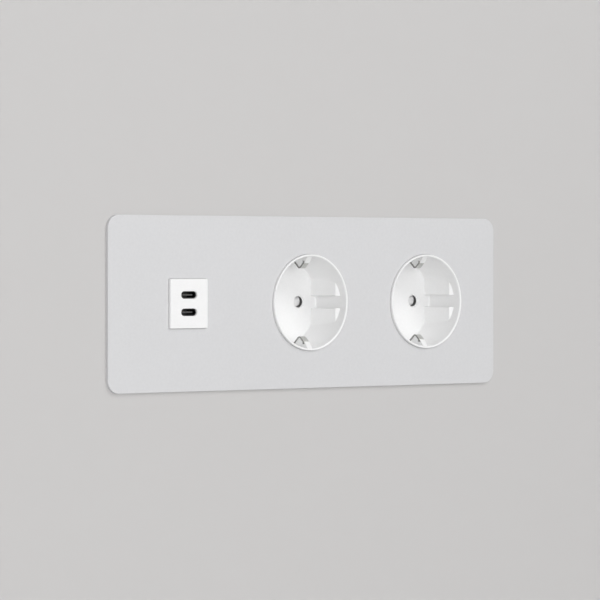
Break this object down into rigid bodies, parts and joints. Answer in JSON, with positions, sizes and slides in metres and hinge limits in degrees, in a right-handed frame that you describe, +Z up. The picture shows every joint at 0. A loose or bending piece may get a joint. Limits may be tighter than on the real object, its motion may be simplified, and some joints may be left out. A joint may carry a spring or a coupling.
{
  "type": "usb and mains wall socket plate",
  "caption": "Slim rectangular wall plate with a small square USB-C charging outlet beside round earthed mains sockets in recessed wells, each on its own steel frame for a flush box.",
  "frame": {"origin": "centre of the middle flush box's fixing slots, on the back of the support frame's floor where it seats on the box", "axes": "+X right along the plate seen from the front, +Z up, +Y into the wall; the plate's face looks along -Y"},
  "size_m": [0.23, 0.0448, 0.0786],
  "materials": {
    "plate_paint": "fine matt powder coat, pale grey-white",
    "white_plastic": "satin white moulded plastic",
    "grey_housing": "matt grey heat-proof plastic",
    "zinc_steel": "zinc plated, rolled",
    "spring_steel": "bright spring steel",
    "nickel_strip": "nickel plated strip",
    "contact_brass": "rolled brass",
    "key_plastic": "matt orange plastic",
    "port_steel": "dark nickel plated shell",
    "black_plastic": "matt black plastic",
    "board_green": "green solder mask",
    "ferrite": "ferrite and tape",
    "can_sleeve": "dark sleeve",
    "terminal_plastic": "green terminal plastic"
  },
  "bodies": {
    "root": {"front_plate": "plate_paint", "plate_clips": "spring_steel", "usb_bezel": "white_plastic", "usb_port_upper": "port_steel", "usb_port_lower": "port_steel", "usb_tongue_upper": "black_plastic", "usb_tongue_lower": "black_plastic", "usb_front_board": "board_green", "usb_main_board": "board_green", "usb_header": "black_plastic", "usb_transformer": "ferrite", "usb_capacitors": "can_sleeve", "usb_terminal_block": "terminal_plastic", "usb_terminal_screws": "zinc_steel", "usb_housing": "grey_housing", "usb_support_frame": "zinc_steel", "usb_claw_screws": "zinc_steel", "usb_frame_screws": "zinc_steel", "socket_one_well": "white_plastic", "socket_one_shutter_spring": "spring_steel", "socket_one_shutter_cover": "white_plastic", "socket_one_earth_strap": "nickel_strip", "socket_one_contact_right": "contact_brass", "socket_one_contact_left": "contact_brass", "socket_one_terminal_springs": "spring_steel", "socket_one_housing": "grey_housing", "socket_one_support_frame": "zinc_steel", "socket_one_claw_screws": "zinc_steel", "socket_one_frame_screws": "zinc_steel", "socket_two_well": "white_plastic", "socket_two_shutter_spring": "spring_steel", "socket_two_shutter_cover": "white_plastic", "socket_two_earth_strap": "nickel_strip", "socket_two_contact_right": "contact_brass", "socket_two_contact_left": "contact_brass", "socket_two_terminal_springs": "spring_steel", "socket_two_housing": "grey_housing", "socket_two_support_frame": "zinc_steel", "socket_two_claw_screws": "zinc_steel", "socket_two_frame_screws": "zinc_steel"},
    "usb_claw_right": {"usb_claw_right": "zinc_steel"},
    "usb_claw_left": {"usb_claw_left": "zinc_steel"},
    "socket_one_shutter": {"socket_one_shutter": "white_plastic"},
    "socket_one_release_key_right": {"socket_one_release_key_right": "key_plastic"},
    "socket_one_release_key_left": {"socket_one_release_key_left": "key_plastic"},
    "socket_one_claw_right": {"socket_one_claw_right": "zinc_steel"},
    "socket_one_claw_left": {"socket_one_claw_left": "zinc_steel"},
    "socket_two_shutter": {"socket_two_shutter": "white_plastic"},
    "socket_two_release_key_right": {"socket_two_release_key_right": "key_plastic"},
    "socket_two_release_key_left": {"socket_two_release_key_left": "key_plastic"},
    "socket_two_claw_right": {"socket_two_claw_right": "zinc_steel"},
    "socket_two_claw_left": {"socket_two_claw_left": "zinc_steel"}
  },
  "joints": [
    {"name": "usb_claw_right_swing", "type": "hinge", "parent": "root", "child": "usb_claw_right", "pos_m": [-0.0451, 0.003, -0.01], "axis": [0, 0, -1], "range_deg": [0, 20]},
    {"name": "usb_claw_left_swing", "type": "hinge", "parent": "root", "child": "usb_claw_left", "pos_m": [-0.0969, 0.003, -0.01], "axis": [0, 0, 1], "range_deg": [0, 20]},
    {"name": "socket_one_claw_right_swing", "type": "hinge", "parent": "root", "child": "socket_one_claw_right", "pos_m": [0.0259, 0.003, -0.01], "axis": [0, 0, -1], "range_deg": [0, 20]},
    {"name": "socket_one_release_key_right_press", "type": "slide", "parent": "root", "child": "socket_one_release_key_right", "axis": [0, -1, 0], "range_m": [0, 0.0015], "stiffness_N_per_m": 20, "springref_m": -0.002},
    {"name": "socket_one_claw_left_swing", "type": "hinge", "parent": "root", "child": "socket_one_claw_left", "pos_m": [-0.0259, 0.003, -0.01], "axis": [0, 0, 1], "range_deg": [0, 20]},
    {"name": "socket_one_release_key_left_press", "type": "slide", "parent": "root", "child": "socket_one_release_key_left", "axis": [0, -1, 0], "range_m": [0, 0.0015], "stiffness_N_per_m": 20, "springref_m": -0.002},
    {"name": "socket_one_shutter_turn", "type": "hinge", "parent": "root", "child": "socket_one_shutter", "pos_m": [0, 0.0186, 0], "axis": [0, 1, 0], "range_deg": [0, 40], "stiffness_Nm_per_rad": 0.0005, "springref_deg": -17.19, "deforming": ["socket_one_shutter_spring"]},
    {"name": "socket_two_claw_right_swing", "type": "hinge", "parent": "root", "child": "socket_two_claw_right", "pos_m": [0.0969, 0.003, -0.01], "axis": [0, 0, -1], "range_deg": [0, 20]},
    {"name": "socket_two_release_key_right_press", "type": "slide", "parent": "root", "child": "socket_two_release_key_right", "axis": [0, -1, 0], "range_m": [0, 0.0015], "stiffness_N_per_m": 20, "springref_m": -0.002},
    {"name": "socket_two_claw_left_swing", "type": "hinge", "parent": "root", "child": "socket_two_claw_left", "pos_m": [0.0451, 0.003, -0.01], "axis": [0, 0, 1], "range_deg": [0, 20]},
    {"name": "socket_two_release_key_left_press", "type": "slide", "parent": "root", "child": "socket_two_release_key_left", "axis": [0, -1, 0], "range_m": [0, 0.0015], "stiffness_N_per_m": 20, "springref_m": -0.002},
    {"name": "socket_two_shutter_turn", "type": "hinge", "parent": "root", "child": "socket_two_shutter", "pos_m": [0.071, 0.0186, 0], "axis": [0, 1, 0], "range_deg": [0, 40], "stiffness_Nm_per_rad": 0.0005, "springref_deg": -17.19, "deforming": ["socket_two_shutter_spring"]}
  ]
}
